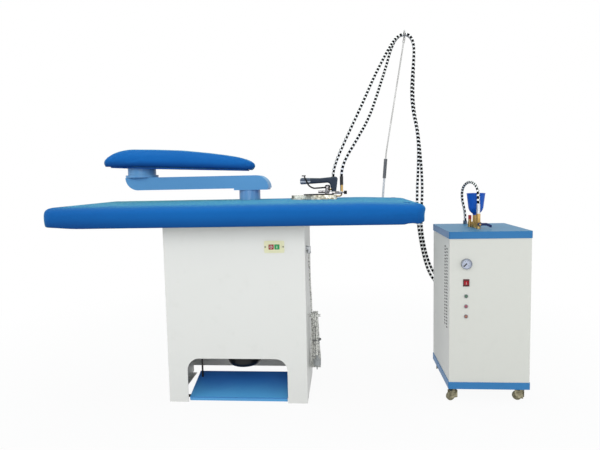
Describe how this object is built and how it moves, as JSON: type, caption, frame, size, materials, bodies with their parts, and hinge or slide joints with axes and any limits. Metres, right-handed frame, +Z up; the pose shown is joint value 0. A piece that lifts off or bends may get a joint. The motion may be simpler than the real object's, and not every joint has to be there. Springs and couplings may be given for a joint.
{
  "type": "steam ironing table",
  "caption": "Vacuum ironing table with padded board, swing-arm sleeve board, foot pedal, hose pole and all-steam iron joined by braided hoses to a wheeled steam boiler.",
  "frame": {"origin": "centre of the floor rectangle under the whole set, cords left out", "axes": "+X along the board towards the boiler, +Y from the operator's side to the back, +Z up"},
  "size_m": [2, 0.718, 1.681],
  "materials": {
    "off_white_paint": "powder coat",
    "blue_paint": "gloss enamel",
    "blue_cloth": "woven cloth",
    "felt": "felt and foam",
    "galvanised": "galvanised sheet",
    "motor_black": "black enamel",
    "fan_alloy": "as cast",
    "cream_plastic": "satin",
    "green_plastic": "gloss",
    "red_plastic": "gloss",
    "chrome": "polished",
    "sole_alloy": "polished",
    "slate_plastic": "matt",
    "black_plastic": "matt",
    "brass": "machined",
    "hose_braid": "checked braid over hose",
    "grey_cable": "satin",
    "vessel_steel": "welded steel",
    "fork_steel": "zinc plated",
    "wheel_rubber": "beige",
    "funnel_blue": "gloss",
    "needle_black": "matt"
  },
  "bodies": {
    "stand": {"cabinet_front_panel": "off_white_paint", "cabinet_side_panels": "off_white_paint", "cabinet_back_panel": "off_white_paint", "board_tray": "galvanised", "board_suction_plate": "galvanised", "board_pad": "felt", "board_cover": "blue_cloth", "fan_housing": "galvanised", "fan_motor": "motor_black", "suction_duct": "galvanised", "pedal_shaft": "galvanised", "start_stop_switch": "cream_plastic", "arm_pedestal": "blue_paint", "pole_socket": "galvanised", "pole_spring_sleeve": "black_plastic", "pole_rod": "chrome", "hose_ring": "chrome", "iron_soleplate": "sole_alloy", "iron_heat_shield": "black_plastic", "iron_handle": "slate_plastic", "iron_steam_valve": "chrome", "hose_fittings": "brass", "steam_hose": "hose_braid", "return_hose": "hose_braid", "mains_gland": "chrome", "mains_lead": "grey_cable", "mains_hank": "grey_cable", "mains_plug": "grey_cable", "boiler_front_panel": "off_white_paint", "boiler_side_panels": "off_white_paint", "boiler_top_cover": "blue_paint", "boiler_base_tray": "blue_paint", "pressure_vessel": "vessel_steel", "pressure_gauge": "chrome", "panel_fittings": "black_plastic", "filler_funnel": "funnel_blue", "boiler_valves": "brass", "breather_hose": "hose_braid"},
    "swing_arm": {"swing_arm": "blue_paint"},
    "sleeve_board": {"sleeve_stand": "blue_paint", "sleeve_pad": "blue_cloth"},
    "pedal": {"pedal_plate": "blue_paint"},
    "pull_link": {"pedal_link": "galvanised"},
    "damper": {"suction_damper": "galvanised"},
    "impeller": {"fan_impeller": "fan_alloy"},
    "start_key": {"start_button": "green_plastic"},
    "stop_key": {"stop_button": "red_plastic"},
    "steam_lever": {"iron_steam_lever": "black_plastic"},
    "steam_knob": {"iron_valve_knob": "black_plastic"},
    "rocker": {"power_rocker": "red_plastic"},
    "needle": {"gauge_needle": "needle_black"},
    "tap_lever": {"valve_lever": "blue_paint"},
    "caster_front_left": {"caster_fork_front_left": "fork_steel"},
    "wheel_front_left": {"caster_wheel_front_left": "wheel_rubber"},
    "caster_front_right": {"caster_fork_front_right": "fork_steel"},
    "wheel_front_right": {"caster_wheel_front_right": "wheel_rubber"},
    "caster_rear_left": {"caster_fork_rear_left": "fork_steel"},
    "wheel_rear_left": {"caster_wheel_rear_left": "wheel_rubber"},
    "caster_rear_right": {"caster_fork_rear_right": "fork_steel"},
    "wheel_rear_right": {"caster_wheel_rear_right": "wheel_rubber"}
  },
  "joints": [
    {"name": "arm_swing", "type": "hinge", "parent": "stand", "child": "swing_arm", "pos_m": [-0.219, 0.17, 0.93], "axis": [0, 0, 1], "range_deg": [-90, 90]},
    {"name": "sleeve_turn", "type": "hinge", "parent": "swing_arm", "child": "sleeve_board", "pos_m": [-0.762, 0.17, 0.99], "axis": [0, 0, 1], "range_deg": [-175, 175]},
    {"name": "pedal_press", "type": "hinge", "parent": "stand", "child": "pedal", "pos_m": [-0.219, -0.227, 0.014], "axis": [-1, 0, 0], "range_deg": [0, 16], "stiffness_Nm_per_rad": 12, "springref_deg": -22.92},
    {"name": "link_pull", "type": "slide", "parent": "stand", "child": "pull_link", "axis": [0, 0, -1], "range_m": [0, 0.032]},
    {"name": "damper_turn", "type": "hinge", "parent": "stand", "child": "damper", "pos_m": [-0.219, -0.08, 0.66], "axis": [1, 0, 0], "range_deg": [0, 40]},
    {"name": "fan_spin", "type": "hinge", "parent": "stand", "child": "impeller", "pos_m": [-0.219, -0.08, 0.34], "axis": [0, 0, 1], "continuous": true},
    {"name": "start_press", "type": "slide", "parent": "stand", "child": "start_key", "axis": [0, 1, 0], "range_m": [0, 0.003], "stiffness_N_per_m": 400, "springref_m": -0.002},
    {"name": "stop_press", "type": "slide", "parent": "stand", "child": "stop_key", "axis": [0, 1, 0], "range_m": [0, 0.003], "stiffness_N_per_m": 400, "springref_m": -0.002},
    {"name": "steam_lever_press", "type": "hinge", "parent": "stand", "child": "steam_lever", "pos_m": [0.168, 0.048, 0.906], "axis": [0, -1, 0], "range_deg": [0, 6], "stiffness_Nm_per_rad": 2, "springref_deg": -8.59},
    {"name": "steam_knob_turn", "type": "hinge", "parent": "stand", "child": "steam_knob", "pos_m": [0.251, 0.043, 0.88], "axis": [1, 0, 0], "range_deg": [-180, 180]},
    {"name": "rocker_tilt", "type": "hinge", "parent": "stand", "child": "rocker", "pos_m": [0.738, -0.219, 0.507], "axis": [1, 0, 0], "range_deg": [-18, 0]},
    {"name": "needle_sweep", "type": "hinge", "parent": "stand", "child": "needle", "pos_m": [0.738, -0.223, 0.586], "axis": [0, 1, 0], "range_deg": [0, 270]},
    {"name": "tap_turn", "type": "hinge", "parent": "stand", "child": "tap_lever", "pos_m": [0.815, -0.128, 0.738], "axis": [0, -1, 0], "range_deg": [0, 90]},
    {"name": "swivel_front_left", "type": "hinge", "parent": "stand", "child": "caster_front_left", "pos_m": [0.696, -0.198, 0.05], "axis": [0, 0, 1], "continuous": true},
    {"name": "roll_front_left", "type": "hinge", "parent": "caster_front_left", "child": "wheel_front_left", "pos_m": [0.68097, -0.20347, 0.019], "axis": [0.342, -0.9397, 0], "continuous": true},
    {"name": "swivel_front_right", "type": "hinge", "parent": "stand", "child": "caster_front_right", "pos_m": [0.972, -0.198, 0.05], "axis": [0, 0, 1], "continuous": true},
    {"name": "roll_front_right", "type": "hinge", "parent": "caster_front_right", "child": "wheel_front_right", "pos_m": [0.95814, -0.19, 0.019], "axis": [-0.5, -0.866, 0], "continuous": true},
    {"name": "swivel_rear_left", "type": "hinge", "parent": "stand", "child": "caster_rear_left", "pos_m": [0.696, 0.121, 0.05], "axis": [0, 0, 1], "continuous": true},
    {"name": "roll_rear_left", "type": "hinge", "parent": "caster_rear_left", "child": "wheel_rear_left", "pos_m": [0.70911, 0.13018, 0.019], "axis": [-0.5736, 0.8192, 0], "continuous": true},
    {"name": "swivel_rear_right", "type": "hinge", "parent": "stand", "child": "caster_rear_right", "pos_m": [0.972, 0.121, 0.05], "axis": [0, 0, 1], "continuous": true},
    {"name": "roll_rear_right", "type": "hinge", "parent": "caster_rear_right", "child": "wheel_rear_right", "pos_m": [0.95624, 0.12378, 0.019], "axis": [-0.1736, -0.9848, 0], "continuous": true}
  ],
  "couplings": [
    {"joint": "link_pull", "follows": "pedal_press", "m_per_rad": 0.112},
    {"joint": "damper_turn", "follows": "pedal_press", "ratio": 2.5}
  ]
}
